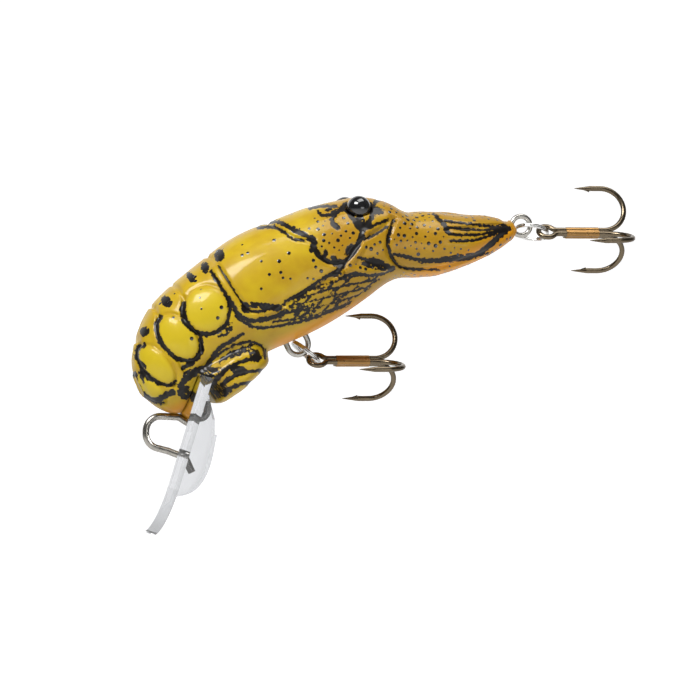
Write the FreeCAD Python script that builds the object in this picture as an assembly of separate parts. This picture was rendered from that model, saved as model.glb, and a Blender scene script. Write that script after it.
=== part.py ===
"""Crayfish-shaped diving crankbait, about 51 mm long, built from its separate pieces.

Frame: +Z up, the origin in the middle of the line-tie loop, -X the way the lure is pulled,
Y = 0 the seam plane between the two body shells. The body is set nose-down by BODY_TILT, the
attitude in which it is retrieved. All lengths are in millimetres.
"""
import FreeCAD, Part
import math
import os

V = FreeCAD.Vector

# ---------------------------------------------------------------- driving dimensions
BODY_TILT = 25.0            # slope of the body's long axis
WALL = 1.3                  # shell wall
SEAM_GAP = 0.01             # each shell stops this far from the seam plane
ENGRAVE_DEPTH = 0.35        # moulded grooves
ENGRAVE_WIDTH = 0.45
RIM_POINTS = 36             # points round one body section

LIP_THICK = 1.45            # clear diving plate
LIP_HALF_WIDTH = 7.0
LIP_SLOPE = 0.32            # run over rise of the plate
LIP_OFFSET = 2.35           # plate centre line ahead of the tie loop at Z = 0
LIP_TOP = 6.9
LIP_TIP = -12.6
KEEL_HALF_WIDTH = 2.0
GUSSET_HALF_WIDTH = 1.1
FIT = 0.04                  # moulding gap round wires and set-in pieces

TIE_WIRE_R = 0.435          # line tie
TIE_LOOP_R = 1.95
BELLY_WIRE_R = 0.36         # belly hanger
BELLY_LOOP_R = 1.34
TAIL_WIRE_R = 0.33          # rear hanger
TAIL_LOOP_R = 1.2

RING_R = 2.05               # split ring, to the wire's centre
RING_WIRE_R = 0.18
RING_PITCH = 0.38
RING_TURNS = 1.92

HOOK_WIRE_R = 0.335         # treble hook
HOOK_EYE_R = 1.05
HOOK_BUNDLE_R = 0.395       # shank centre to each wire's centre
HOOK_GAPE = 6.06            # shank centre to each point
HOOK_BEND_AT = 7.45         # eye centre to the bend's centre
HOOK_POINT_AT = 4.1         # eye centre to the points, along the shank
HOOK_POINT_LENGTH = 2.0
HOOK_ROLL = -129.5          # the brazed-on hook, turned from -Y towards +Z
BRAZE_START = 2.5
BRAZE_END = 6.7
BRAZE_SKIN = 0.045

EYE_BEAD_R = 1.5
BALL_R = 1.5                # rattle balls
BALL_TUBE_R = 1.62
BALL_TUBE_WALL = 0.7
BALL_TRAVEL = 2.6
BALLAST_R = 2.4
BALLAST_HALF = 4.4

BELLY_EYE = V(17.38, 0, 11.0)       # middle of the belly hanger's loop
TAIL_EYE = V(46.07, 0, 25.87)       # middle of the rear hanger's loop
EYE_BEAD_AT = V(24.3, 4.0, 28.0)    # mirrored for the other side

# body sections along the tilted axis: station, underside, back, half width
SECTIONS = [
    (-0.25, 5.1, 7.5, 1.0),
    (0.3, 4.0, 9.3, 2.2),
    (1.4, 2.3, 11.2, 3.4),
    (3.3, 1.2, 13.2, 4.4),
    (5.6, 2.2, 14.8, 5.1),
    (8.2, 3.2, 15.8, 5.6),
    (12.0, 3.3, 16.8, 6.1),
    (16.5, 3.4, 17.8, 6.5),
    (21.0, 3.25, 18.15, 6.75),
    (26.0, 3.45, 17.8, 6.8),
    (30.0, 4.05, 17.35, 6.6),
    (33.5, 4.75, 16.55, 6.2),
    (36.0, 4.5, 15.6, 5.7),
    (37.2, 3.95, 14.75, 5.5),
    (38.5, 3.4, 13.4, 5.4),
    (39.6, 3.0, 12.0, 5.35),
    (40.8, 2.8, 11.45, 5.4),
    (42.2, 2.6, 10.8, 5.5),
    (44.0, 2.45, 9.9, 5.3),
    (46.0, 2.4, 8.8, 4.75),
    (48.0, 2.45, 7.6, 3.9),
    (50.0, 2.7, 6.35, 2.75),
    (51.3, 3.15, 5.3, 1.6),
    (51.8, 3.6, 4.7, 0.9),
]
FIRST_HOLLOW = 6            # the hollow runs between these two sections
LAST_HOLLOW = 13

# side outline of the folded tail fan (X, Z)
FAN_OUTLINE = [
    (3.0, 7.2), (5.0, 8.6), (7.5, 10.2), (9.8, 11.3), (11.4, 11.3), (12.7, 10.4), (13.3, 9.2),
    (12.6, 7.9), (11.2, 6.5), (9.7, 5.1), (8.3, 4.2), (7.2, 3.6), (6.3, 3.8), (5.9, 5.0),
    (4.6, 6.2),
]
FAN_HALF_WIDTH = 6.3

# moulded grooves seen from the side (X, Z)
GROOVES = {
    "tail_segment_1": [(1.4, 18.6), (2.2, 15.9), (3.0, 13.0), (4.1, 10.0)],
    "tail_segment_2": [(-1.1, 15.8), (-0.6, 12.8), (0.9, 9.6), (2.3, 7.4)],
    "tail_segment_3": [(-3.2, 12.0), (-2.3, 9.0), (-0.6, 7.0), (1.2, 5.6)],
    "tail_segment_4": [(-4.2, 8.2), (-2.8, 6.0), (-1.2, 4.4), (0.4, 3.6)],
    "carapace_rim": [(6.0, 22.0), (7.2, 19.0), (8.8, 16.4), (10.6, 14.8), (12.8, 14.6),
                     (15.0, 16.2), (17.4, 17.6), (19.2, 18.6), (22.6, 19.7)],
    "neck": [(13.2, 26.4), (14.6, 25.2), (16.0, 24.2), (18.2, 23.4), (19.4, 21.6), (21.8, 21.1)],
    "cheek": [(28.6, 27.0), (26.4, 25.2), (24.6, 24.0), (22.8, 22.0), (21.6, 19.4)],
    "claw_wrist": [(28.8, 26.8), (27.9, 24.6), (27.7, 22.4), (29.2, 20.9), (32.4, 20.4),
                   (36.4, 20.9), (40.4, 22.7), (43.0, 24.8)],
    "claw_fingers": [(33.8, 26.9), (35.2, 25.6), (38.6, 25.5), (42.6, 25.7)],
}


# ---------------------------------------------------------------- small helpers
def on_body(station, height, y=0.0):
    """A point given along the tilted body axis."""
    c = math.cos(math.radians(BODY_TILT))
    s = math.sin(math.radians(BODY_TILT))
    return V(c * station - s * height, y, s * station + c * height)


def power(value, exponent):
    return math.copysign(abs(value) ** exponent, value)


def spline(points, closed=False):
    curve = Part.BSplineCurve()
    curve.interpolate(Points=points, PeriodicFlag=closed)
    return curve.toShape()


def prism(outline, y_from, y_to):
    """A side-view polygon of (X, Z) pairs, extruded across the lure."""
    points = [V(x, y_from, z) for x, z in outline]
    face = Part.Face(Part.makePolygon(points + points[:1]))
    return face.extrude(V(0, y_to - y_from, 0))


def cross_cylinder(centre, radius, half_length):
    return Part.makeCylinder(radius, 2 * half_length, centre - V(0, half_length, 0), V(0, 1, 0))


def sweep(path, radius):
    """A round wire along a smooth path."""
    edge = path.OrderedEdges[0]
    start = path.OrderedVertexes[0].Point
    low, high = edge.ParameterRange
    from_low = (edge.valueAt(low) - start).Length < (edge.valueAt(high) - start).Length
    along = edge.tangentAt(low if from_low else high)
    circle = Part.Wire(Part.makeCircle(radius, start, along))
    shell = Part.BRepOffsetAPI.MakePipeShell(path)
    shell.setFrenetMode(False)
    shell.add(circle)
    shell.build()
    shell.makeSolid()
    return shell.shape()


def smooth_path(points):
    curve = Part.BSplineCurve()
    curve.interpolate(Points=points)
    return Part.Wire(curve.toShape())


def arc(start, middle, end):
    return Part.Arc(start, middle, end).toShape()


def bent_path(points, radii):
    """Straight runs between points, each inner corner rounded with its own radius."""
    edges = []
    here = points[0]
    for k, radius in enumerate(radii):
        before, corner, after = points[k], points[k + 1], points[k + 2]
        back = (before - corner).normalize()
        on = (after - corner).normalize()
        half_turn = (math.pi - back.getAngle(on)) / 2
        reach = radius * math.tan(half_turn)
        enter = corner + back * reach
        leave = corner + on * reach
        inward = (back + on).normalize()
        top = corner + inward * (radius / math.cos(half_turn) - radius)
        if (enter - here).Length > 1e-4:
            edges.append(Part.makeLine(here, enter))
        edges.append(arc(enter, top, leave))
        here = leave
    edges.append(Part.makeLine(here, points[-1]))
    return edges


def neck_run(loop_r, half_gap, neck_r):
    """Distance from an eye's centre to the end of its neck arcs."""
    return math.sqrt((loop_r + neck_r) ** 2 - (half_gap + neck_r) ** 2)


def eye_edges(centre, away, side, loop_r, half_gap, neck_r):
    """A closed-up wire eye: neck arc, the loop, neck arc. The legs leave against away."""
    run = neck_run(loop_r, half_gap, neck_r)
    lean = math.atan2(half_gap + neck_r, run)

    def at(x, y):
        return centre + away * x + side * y

    touch_x = -loop_r * math.cos(lean)
    touch_y = loop_r * math.sin(lean)
    half = (math.pi / 2 + lean) / 2
    mid_x = -run + neck_r * math.cos(half)
    mid_y = half_gap + neck_r - neck_r * math.sin(half)
    first = arc(at(-run, half_gap), at(mid_x, mid_y), at(touch_x, touch_y))
    loop = arc(at(touch_x, touch_y), at(loop_r, 0), at(touch_x, -touch_y))
    last = arc(at(touch_x, -touch_y), at(mid_x, -mid_y), at(-run, -half_gap))
    return [first, loop, last]


# ---------------------------------------------------------------- body
def section(station, low, high, half, inset):
    """One closed cross-section, shrunk by inset."""
    middle = low + 0.47 * (high - low)
    points = []
    for k in range(RIM_POINTS):
        angle = 2 * math.pi * k / RIM_POINTS
        reach = (high - middle) if math.cos(angle) >= 0 else (middle - low)
        y = (half - inset) * power(math.sin(angle), 0.87)
        height = middle + (reach - inset) * power(math.cos(angle), 0.87)
        points.append(on_body(station, height, y))
    return Part.Wire(spline(points, closed=True))


def body_solid(rows, inset=0.0):
    wires = [section(s, low, high, half, inset) for s, low, high, half in rows]
    return Part.makeLoft(wires, True, False)


def tail_fan():
    """The folded fan: side outlines stacked across the lure, smaller towards both edges."""
    cx = sum(p[0] for p in FAN_OUTLINE) / len(FAN_OUTLINE)
    cz = sum(p[1] for p in FAN_OUTLINE) / len(FAN_OUTLINE)
    wires = []
    for part in (-1.0, -0.93, -0.72, -0.36, 0.0, 0.36, 0.72, 0.93, 1.0):
        size = 0.45 + 0.55 * math.sqrt(max(0.0, 1 - abs(part) ** 2.6))
        y = part * FAN_HALF_WIDTH
        ring = [V(cx + size * (x - cx), y, cz + size * (z - cz)) for x, z in FAN_OUTLINE]
        wires.append(Part.Wire(spline(ring, closed=True)))
    return Part.makeLoft(wires, True, False)


def groove_tool(points, width):
    """A ribbon along a side-view line, cut right across the lure."""
    line = spline([V(x, 0, z) for x, z in points])
    count = 14
    upper = []
    lower = []
    first, last = line.ParameterRange
    for k in range(count + 1):
        u = first + (last - first) * k / count
        at = line.valueAt(u)
        along = line.tangentAt(u)
        side = V(-along.z, 0, along.x).normalize() * (width / 2)
        upper.append(at + side - V(0, 9, 0))
        lower.append(at - side - V(0, 9, 0))
    edges = [spline(upper), Part.makeLine(upper[-1], lower[-1]),
             spline(lower[::-1]), Part.makeLine(lower[0], upper[0])]
    face = Part.Face(Part.Wire(edges))
    return face.extrude(V(0, 18, 0))


def claw_gap():
    """Wedges that part the two claws above and below, along the seam."""
    top = [on_body(39.6, 12.6), on_body(51.9, 5.3), on_body(51.9, 9.0), on_body(42.0, 15.0)]
    low = [on_body(37.5, 2.2), on_body(43.0, 1.6), on_body(50.6, 1.9), on_body(50.6, 3.1),
           on_body(43.0, 3.3), on_body(38.5, 4.3)]
    tools = []
    for outline, sink in ((top, -1.3), (low, 0.0)):
        flat = [V(p.x, 0, p.z) for p in outline]
        lift = on_body(0, sink)
        wire_mid = Part.makePolygon([p + lift for p in flat] + [flat[0] + lift])
        for side in (-1, 1):
            edge_lift = V(0, side * 1.1, 0) - lift * 0.0
            away = on_body(0, 1.3 if sink < 0 else -1.3)
            wire_out = Part.makePolygon([p + lift + edge_lift + away for p in flat]
                                        + [flat[0] + lift + edge_lift + away])
            tools.append(Part.makeLoft([wire_mid, wire_out], True, True))
    return tools


def hanger_blocks():
    """Solid blocks in the hollow that grip the belly hanger's legs."""
    corners = [on_body(17.2, 3.0), on_body(23.8, 3.0), on_body(23.8, 8.6), on_body(17.2, 8.6)]
    return prism([(p.x, p.z) for p in corners], -1.7, 1.7)


BALL_STATIONS = [(13.6, 10.6), (19.6, 12.4), (25.8, 12.6)]
BALLAST_AT = on_body(28.6, 7.6)


def ball_centres():
    return [on_body(s, t) for s, t in BALL_STATIONS]


def hollow():
    """The air space: the inset body less the tubes and blocks that cross it."""
    space = body_solid(SECTIONS[FIRST_HOLLOW:LAST_HOLLOW], WALL)
    fill = [cross_cylinder(c, BALL_TUBE_R + BALL_TUBE_WALL, 9) for c in ball_centres()]
    fill.append(cross_cylinder(BALLAST_AT, BALLAST_R + 0.8, 9))
    fill.append(hanger_blocks())
    return space.cut(fill)


def rear_hanger_pocket():
    """Slot in the claw tips for the rear hanger's loop, neck and feet."""
    depth = TAIL_WIRE_R + FIT
    out = on_body(1, -0.24).normalize()
    side = V(-out.z, 0, out.x)
    near = TAIL_EYE - out * 0.4
    far = TAIL_EYE - out * 7.1
    wide = TAIL_WIRE_R * 2 + 0.07 + FIT
    foot = wide + 0.95
    heel = TAIL_EYE - out * 6.2
    corners = [near + side * wide, heel + side * wide, heel + side * foot, far + side * foot,
               far - side * foot, heel - side * foot, heel - side * wide, near - side * wide]
    slot = prism([(p.x, p.z) for p in corners], -depth, depth)
    loop = cross_cylinder(TAIL_EYE, TAIL_LOOP_R + depth + FIT, depth)
    return slot.fuse(loop)


def left_shell(belly_channel):
    """The left half (seen along the pull), cut step by step from the whole skin."""
    skin = body_solid(SECTIONS).fuse(tail_fan())
    shell = skin.common(Part.makeBox(90, 20, 90, V(-20, -20 - SEAM_GAP, -30)))
    core = body_solid(SECTIONS, ENGRAVE_DEPTH)
    cuts = [hollow(), cross_cylinder(BALLAST_AT, BALLAST_R + FIT, BALLAST_HALF + FIT)]
    for centre in ball_centres():
        cuts.append(cross_cylinder(centre, BALL_TUBE_R, BALL_TRAVEL + BALL_R + 0.1))
    cuts += [lip_seat(), eye_bead(-1, FIT), belly_channel, rear_hanger_pocket()]
    cuts += claw_gap()
    for line in GROOVES.values():
        cuts.append(groove_tool(line, ENGRAVE_WIDTH).cut(core))
    for tool in cuts:
        shell = shell.cut(tool)
    return max(shell.Solids, key=lambda s: s.Volume)


# ---------------------------------------------------------------- diving lip
def lip_point(v, n):
    """A point v up the plate and n behind its middle plane."""
    size = math.hypot(LIP_SLOPE, 1.0)
    up = V(LIP_SLOPE / size, 0, 1 / size)
    back = V(1 / size, 0, -LIP_SLOPE / size)
    return V(LIP_OFFSET, 0, 0) + up * v + back * n


def lip_plate(gap=0.0):
    """Flat plate with squared top corners and a rounded tip."""
    scale = math.hypot(LIP_SLOPE, 1.0)
    top = LIP_TOP * scale + gap
    tip = LIP_TIP * scale
    w = LIP_HALF_WIDTH + gap
    shoulder = tip + 6.6
    n = -LIP_THICK / 2 - gap

    def at(v, y):
        p = lip_point(v, n)
        return V(p.x, y, p.z)

    rounded = []
    for k in range(13):
        angle = math.pi * k / 12
        rounded.append(at(shoulder - 6.6 * math.sin(angle) ** 0.9, -w * math.cos(angle)))
    edges = [spline(rounded),
             Part.makeLine(rounded[-1], at(top, w - 0.5)),
             Part.makeLine(at(top, w - 0.5), at(top, -w + 0.5)),
             Part.makeLine(at(top, -w + 0.5), rounded[0])]
    face = Part.Face(Part.Wire(edges))
    back = lip_point(0, 1) - lip_point(0, 0)
    return face.extrude(back * (LIP_THICK + 2 * gap))


def lip_tongue(gap=0.0):
    """Root of the plate, gripped inside the body."""
    outline = [lip_point(6.6, -LIP_THICK / 2 - gap), lip_point(6.6, LIP_THICK / 2 + gap),
               lip_point(9.6 + gap, LIP_THICK / 2 + gap),
               lip_point(9.6 + gap, -LIP_THICK / 2 - gap)]
    return prism([(p.x, p.z) for p in outline], -2.6 - gap, 2.6 + gap)


def lip_keel():
    """Rounded pod that stiffens the back of the plate and holds the wire's ends."""
    front = lip_point(0, 0)
    low = lip_point(-8.3, 0.2)
    curve = [V(low.x, 0, low.z), V(1.9, 0, -7.95), V(3.6, 0, -7.4), V(5.2, 0, -5.6),
             V(6.0, 0, -3.6), V(6.5, 0, -1.2), V(6.7, 0, -0.3)]
    rim = spline(curve)
    start = V(front.x, 0, front.z)
    wire = Part.Wire([rim, Part.makeLine(curve[-1], start), Part.makeLine(start, curve[0])])
    face = Part.Face(wire)
    face.translate(V(0, -KEEL_HALF_WIDTH, 0))
    return face.extrude(V(0, 2 * KEEL_HALF_WIDTH, 0))


def lip_gusset(gap=0.0):
    """Wedge between the keel and the body."""
    a = lip_point(-0.4, 0.2)
    b = lip_point(7.4, 0.2)
    outline = [(a.x, a.z), (6.6 + gap, -0.35), (6.6 + gap, 1.6), (5.9 + gap, 4.2),
               (6.3 + gap, 7.6), (b.x, b.z)]
    return prism(outline, -GUSSET_HALF_WIDTH - gap, GUSSET_HALF_WIDTH + gap)


def diving_lip(tie_channel):
    lip = lip_plate().fuse([lip_tongue(), lip_keel(), lip_gusset()])
    return lip.removeSplitter().cut(tie_channel)


def lip_seat():
    """The slot moulded in the body for the lip."""
    return lip_plate(FIT).fuse([lip_tongue(FIT), lip_gusset(FIT)])


# ---------------------------------------------------------------- bent wires
def tie_path():
    """Line tie: one loop ahead of the lip, both ends clinched in the keel."""
    r = TIE_LOOP_R
    corners = [V(5.85, 0, 3.9), V(5.7, 0, 1.72), V(-r, 0, 2.1), V(-r, 0, -1.6),
               V(2.75, 0, -2.8), V(3.75, 0, -5.0)]
    return Part.Wire(bent_path(corners, [0.95, 1.85, 1.85, 1.1]))


def belly_hanger_path():
    """A U of wire hanging from the belly, its legs turned outwards inside the body."""
    down = on_body(0, -1)
    side = on_body(1, 0)
    r = BELLY_LOOP_R
    top = BELLY_EYE - down * 4.6
    left = [top - side * (r + 1.5), top - side * r, BELLY_EYE - side * r]
    right = [BELLY_EYE + side * r, top + side * r, top + side * (r + 1.5)]
    bend = arc(left[-1], BELLY_EYE + down * r, right[0])
    return Part.Wire(bent_path(left, [0.7]) + [bend] + bent_path(right, [0.7]))


def tail_hanger_path():
    """A screw-eye shape: the loop outside, two close legs and turned-out feet inside."""
    out = on_body(1, -0.24).normalize()
    side = V(-out.z, 0, out.x)
    gap = TAIL_WIRE_R + 0.05
    eye = eye_edges(TAIL_EYE, out, side, TAIL_LOOP_R, gap, 0.9)
    heel = TAIL_EYE - out * 6.7
    neck = TAIL_EYE - out * neck_run(TAIL_LOOP_R, gap, 0.9)
    upper = [heel + side * (gap + 1.0), heel + side * gap, neck + side * gap]
    lower = [neck - side * gap, heel - side * gap, heel - side * (gap + 1.0)]
    return Part.Wire(bent_path(upper, [0.6]) + eye + bent_path(lower, [0.6]))


# ---------------------------------------------------------------- split rings
def ring_placement(hanger, line, lean, crossing):
    """Where a slack ring sits: it passes the hanger's eye at the crossing angle."""
    u = line
    across = V(0, 1, 0)
    down = across.cross(u)
    w = across * math.cos(math.radians(lean)) + down * math.sin(math.radians(lean))
    a = math.radians(crossing)
    centre = hanger - (u * math.cos(a) + w * math.sin(a)) * RING_R
    return centre, u, w


def on_ring(placement, angle):
    centre, u, w = placement
    a = math.radians(angle)
    return centre + (u * math.cos(a) + w * math.sin(a)) * RING_R


def ring_tangent(placement, angle):
    u, w = placement[1:]
    a = math.radians(angle)
    return w * math.cos(a) - u * math.sin(a)


def split_ring(placement):
    """Two close coils of one wire."""
    centre, u, w = placement
    normal = u.cross(w)
    points = []
    count = 40
    for k in range(count + 1):
        part = k / count
        a = 2 * math.pi * RING_TURNS * (part - 0.5)
        rise = RING_PITCH * RING_TURNS * (part - 0.5) * 0.5 * 1.04
        points.append(centre + (u * math.cos(a) + w * math.sin(a)) * RING_R + normal * rise * 1.0)
    return sweep(smooth_path(points), RING_WIRE_R)


# ---------------------------------------------------------------- treble hooks
class HookFrame:
    """Shank along +X from the eye centre; radial directions are counted from the brazed hook."""

    def __init__(self, eye):
        self.eye = eye
        self.axis = V(1, 0, 0)

    def radial(self, degrees):
        a = math.radians(HOOK_ROLL + degrees)
        return V(0, -math.cos(a), math.sin(a))

    def point(self, along, degrees, reach):
        middle = self.eye + self.radial(0) * (0.5 * HOOK_BUNDLE_R)
        return middle + self.axis * along + self.radial(degrees) * reach


def arm_edges(frame, degrees, shank_from):
    """Shank, round bend and the straight arm up to the point's root."""
    radius = (HOOK_GAPE - HOOK_BUNDLE_R) / 2
    start = frame.point(shank_from, degrees, HOOK_BUNDLE_R)
    turn = frame.point(HOOK_BEND_AT, degrees, HOOK_BUNDLE_R)
    crown = frame.point(HOOK_BEND_AT + radius, degrees, HOOK_BUNDLE_R + radius)
    leave = frame.point(HOOK_BEND_AT, degrees, HOOK_GAPE)
    root = frame.point(HOOK_POINT_AT + HOOK_POINT_LENGTH, degrees, HOOK_GAPE)
    return [Part.makeLine(start, turn), arc(turn, crown, leave), Part.makeLine(leave, root)]


def hook_point(frame, degrees):
    """Sharp end and its barb, on the side facing the shank."""
    root = frame.point(HOOK_POINT_AT + HOOK_POINT_LENGTH + 0.02, degrees, HOOK_GAPE)
    cone = Part.makeCone(HOOK_WIRE_R, 0.04, HOOK_POINT_LENGTH, root, frame.axis * -1)
    inward = frame.radial(degrees) * -1
    across = frame.axis.cross(inward)
    base = frame.point(HOOK_POINT_AT + 0.95, degrees, HOOK_GAPE - 0.06) - across * 0.11
    barb = [base, base + frame.axis * 0.95 + inward * 0.42, base + frame.axis * 0.95 - inward * 0.1]
    wedge = Part.Face(Part.makePolygon(barb + barb[:1])).extrude(across * 0.22)
    return [cone, wedge]


def double_hook(frame):
    """Two of the three hooks, bent with the eye from one wire."""
    neck = 0.8
    gap = HOOK_BUNDLE_R * math.sin(math.radians(120))
    run = neck_run(HOOK_EYE_R, gap, neck)
    side = frame.radial(90)
    eye = eye_edges(frame.eye, frame.axis * -1, side, HOOK_EYE_R, gap, neck)
    near = arm_edges(frame, 120, run)
    if (near[0].Vertexes[0].Point - eye[0].Vertexes[0].Point).Length > gap:
        eye.reverse()
    edges = near[::-1] + eye + arm_edges(frame, -120, run)
    wire = sweep(Part.Wire(edges), HOOK_WIRE_R)
    return wire.fuse(hook_point(frame, 120) + hook_point(frame, -120))


def third_hook(frame):
    """The single hook laid in the groove between the other two."""
    wire = sweep(Part.Wire(arm_edges(frame, 0, 2.2)), HOOK_WIRE_R)
    return wire.fuse(hook_point(frame, 0))


def hook_braze(frame):
    """Brazing metal that wraps and fills between the three shanks."""
    start = BRAZE_START
    length = BRAZE_END - BRAZE_START
    skins = []
    wires = []
    for degrees in (0, 120, -120):
        base = frame.point(start, degrees, HOOK_BUNDLE_R)
        skins.append(Part.makeCylinder(HOOK_WIRE_R + BRAZE_SKIN, length, base, frame.axis))
        wires.append(Part.makeCylinder(HOOK_WIRE_R + 0.012, length + 2,
                                       base - frame.axis, frame.axis))
    core = Part.makeCylinder(0.52, length, frame.point(start, 0, 0), frame.axis)
    return core.fuse(skins).cut(wires)


# ---------------------------------------------------------------- set-in pieces
def eye_bead(side, gap=0.0):
    at = V(EYE_BEAD_AT.x, side * EYE_BEAD_AT.y, EYE_BEAD_AT.z)
    return Part.makeSphere(EYE_BEAD_R + gap, at)


def rattle_ball(centre):
    return Part.makeSphere(BALL_R, centre)


# ---------------------------------------------------------------- assembly
BELLY_LINE = V(0.766, 0, -0.643)    # from the hanger's loop towards the hook's eye
TAIL_LINE = V(0.974, 0, -0.227)
BELLY_RING = ring_placement(BELLY_EYE, BELLY_LINE, 0.0, -145.0)
BELLY_HOOK_ANGLE = -45.0
TAIL_RING = ring_placement(TAIL_EYE, TAIL_LINE, 20.0, -148.0)
TAIL_HOOK_ANGLE = -34.0


def write(name, shape):
    solid = shape if shape.ShapeType == "Solid" else max(shape.Solids, key=lambda s: s.Volume)
    print(name, "valid", solid.isValid(), "solids", len(shape.Solids), "volume",
          round(solid.Volume, 2))
    solid.exportStep("parts/" + name + ".step")


def main():
    os.makedirs("parts", exist_ok=True)
    tie = tie_path()
    belly = belly_hanger_path()
    tail = tail_hanger_path()
    write("line_tie_wire", sweep(tie, TIE_WIRE_R))
    write("belly_hanger_wire", sweep(belly, BELLY_WIRE_R))
    write("tail_hanger_wire", sweep(tail, TAIL_WIRE_R))
    write("diving_lip", diving_lip(sweep(tie, TIE_WIRE_R + FIT)))
    shell = left_shell(sweep(belly, BELLY_WIRE_R + FIT))
    write("body_left_shell", shell)
    write("body_right_shell", shell.mirror(V(0, 0, 0), V(0, 1, 0)))
    write("left_eye", eye_bead(-1))
    write("right_eye", eye_bead(1))
    write("ballast_weight", cross_cylinder(BALLAST_AT, BALLAST_R, BALLAST_HALF))
    for name, centre in zip(("front", "middle", "rear"), ball_centres()):
        write("rattle_ball_" + name, rattle_ball(centre))
    for name, ring, angle in (("belly", BELLY_RING, BELLY_HOOK_ANGLE),
                              ("tail", TAIL_RING, TAIL_HOOK_ANGLE)):
        write(name + "_split_ring", split_ring(ring))
        frame = HookFrame(on_ring(ring, angle))
        write(name + "_double_hook", double_hook(frame))
        write(name + "_third_hook", third_hook(frame))
        write(name + "_hook_braze", hook_braze(frame))
        print(name, "hook eye", frame.eye, "ring tangent", ring_tangent(ring, angle))


main()
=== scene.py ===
"""Crayfish-shaped diving crankbait: painted body skins, ink, speckles, finishes, stage, camera.

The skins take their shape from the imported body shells. Lengths here are in millimetres and
MM turns them into metres. Side-view places are (run, height) from the line-tie loop.
"""

import math

import bpy
import numpy as np
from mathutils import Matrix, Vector
from mathutils.bvhtree import BVHTree


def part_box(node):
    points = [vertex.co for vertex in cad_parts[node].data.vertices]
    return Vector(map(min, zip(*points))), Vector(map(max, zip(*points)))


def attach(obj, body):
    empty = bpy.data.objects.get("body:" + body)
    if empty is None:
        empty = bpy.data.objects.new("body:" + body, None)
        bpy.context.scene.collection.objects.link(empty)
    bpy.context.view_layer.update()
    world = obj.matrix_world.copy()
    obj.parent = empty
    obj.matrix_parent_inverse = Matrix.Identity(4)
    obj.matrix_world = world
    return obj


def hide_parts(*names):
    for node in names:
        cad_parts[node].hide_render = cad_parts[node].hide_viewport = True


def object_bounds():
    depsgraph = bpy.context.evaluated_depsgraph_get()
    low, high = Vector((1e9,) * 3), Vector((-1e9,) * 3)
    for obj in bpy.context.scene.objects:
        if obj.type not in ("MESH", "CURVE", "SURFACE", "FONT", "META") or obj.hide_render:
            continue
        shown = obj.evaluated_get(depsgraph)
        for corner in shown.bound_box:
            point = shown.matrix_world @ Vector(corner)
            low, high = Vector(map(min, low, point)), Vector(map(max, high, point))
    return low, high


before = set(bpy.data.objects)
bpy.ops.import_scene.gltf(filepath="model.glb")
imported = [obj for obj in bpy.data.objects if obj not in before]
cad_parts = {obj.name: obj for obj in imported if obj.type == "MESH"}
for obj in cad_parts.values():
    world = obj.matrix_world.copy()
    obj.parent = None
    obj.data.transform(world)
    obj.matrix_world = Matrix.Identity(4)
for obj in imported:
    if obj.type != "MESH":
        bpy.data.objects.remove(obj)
cad_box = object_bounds()

MM = 0.001
BODY_TILT = math.radians(25.0)
VIEW_TURN = math.radians(12.5)      # the side view is taken this far round from square on

STATIONS = 330                      # skin rows along the body
AROUND = 120                        # skin columns from back to belly
SKIN_WALL = 1.0
SEAM_INSET = 0.02
CLAW_START = 40.3                   # the claws taper evenly between these stations
CLAW_END = 51.0
CLAW_FADE = 0.9
CLAW_CURVE = 4                      # degree of the curve fitted along the claws

END_GAP = 0.06                      # rows stop this far short of the shell's two ends
RAY_START = 40.0                    # rays are cast inward from this far out
RAY_SMOOTH = 3
PAD_SMOOTH = (21, 11)               # rows and columns smoothed over under the tail segments
MIDDLE_SMOOTH = 25
MIDDLE_REACH = 0.8
TIP_OUT = 0.05                      # end points outside and inside the skin
TIP_IN = 0.4

INK_ENGRAVE = 0.07
INK_WEIGHT = 1.4                    # how boldly the lines are drawn
HANGER_EYE_IN = 1.7                 # the eye, in from the hanger box's lower +X corner
CLEAR_OF_RING = 5.0                 # relief fades inside this distance of the belly hanger


# ---------------------------------------------------------------- tail segments and their rims
# name, centre, half length, half height, tilt in degrees, rim ink from and to in degrees
LOBES = [
    ("first_segment", (5.7, 15.2), 2.9, 3.0, 0, 165, 400),
    ("second_segment", (2.2, 11.8), 3.3, 2.1, -50, 185, 385),
    ("third_segment", (-0.5, 8.4), 3.1, 1.6, -46, 185, 370),
    ("fourth_segment", (-1.3, 5.6), 2.5, 1.2, -44, 190, 350),
]
LOBE_RISE = 0.5
LOBE_DITCH = 0.14
DITCH_AT = 1.04                     # as a share of the segment's own reach
DITCH_WIDTH = 0.07

# places where drawn lines meet
EYE_FORK = (25.0, 25.0)             # the two strokes under the eye
JAW_TOP = (19.0, 24.0)              # the neck lines and the jaw
CLAW_TIP = (43.25, 25.5)
FAN_FOOT = (5.25, 8.0)              # the folded fan leaves the tail here

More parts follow.
